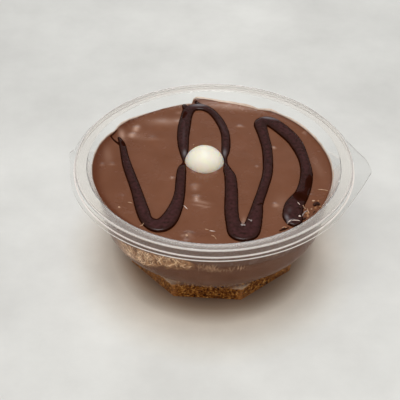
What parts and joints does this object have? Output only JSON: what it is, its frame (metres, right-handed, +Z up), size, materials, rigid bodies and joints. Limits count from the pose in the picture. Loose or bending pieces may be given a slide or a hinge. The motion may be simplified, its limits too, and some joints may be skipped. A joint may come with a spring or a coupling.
{
  "type": "cup of kunafa chocolate dessert",
  "caption": "Clear round tub with an eight-sided foot, filled with crumb, chocolate cream and kunafa strands under drizzled milk chocolate and a white ball.",
  "frame": {"origin": "on the tub's axis, at the underside of its foot", "axes": "+Z up, out of the tub's mouth; -Y towards the viewer of the reference view; the long lifting tab of the flange points along +X"},
  "size_m": [0.1268, 0.12, 0.049],
  "materials": {
    "clear_plastic": "clear, glossy, thin moulded plastic",
    "kunafa_crumb": "coarse golden-brown baked crumb",
    "chocolate_cream": "soft satin chocolate cream",
    "kunafa_strands": "fine pale golden pastry strands",
    "milk_chocolate": "satin set milk chocolate",
    "dark_chocolate": "glossy dark chocolate drizzle",
    "white_chocolate": "satin white chocolate"
  },
  "bodies": {
    "root": {"bowl": "clear_plastic", "crumb_base": "kunafa_crumb", "cream_layer": "chocolate_cream", "strand_layer": "kunafa_strands", "chocolate_top": "milk_chocolate", "white_ball": "white_chocolate"}
  },
  "joints": []
}
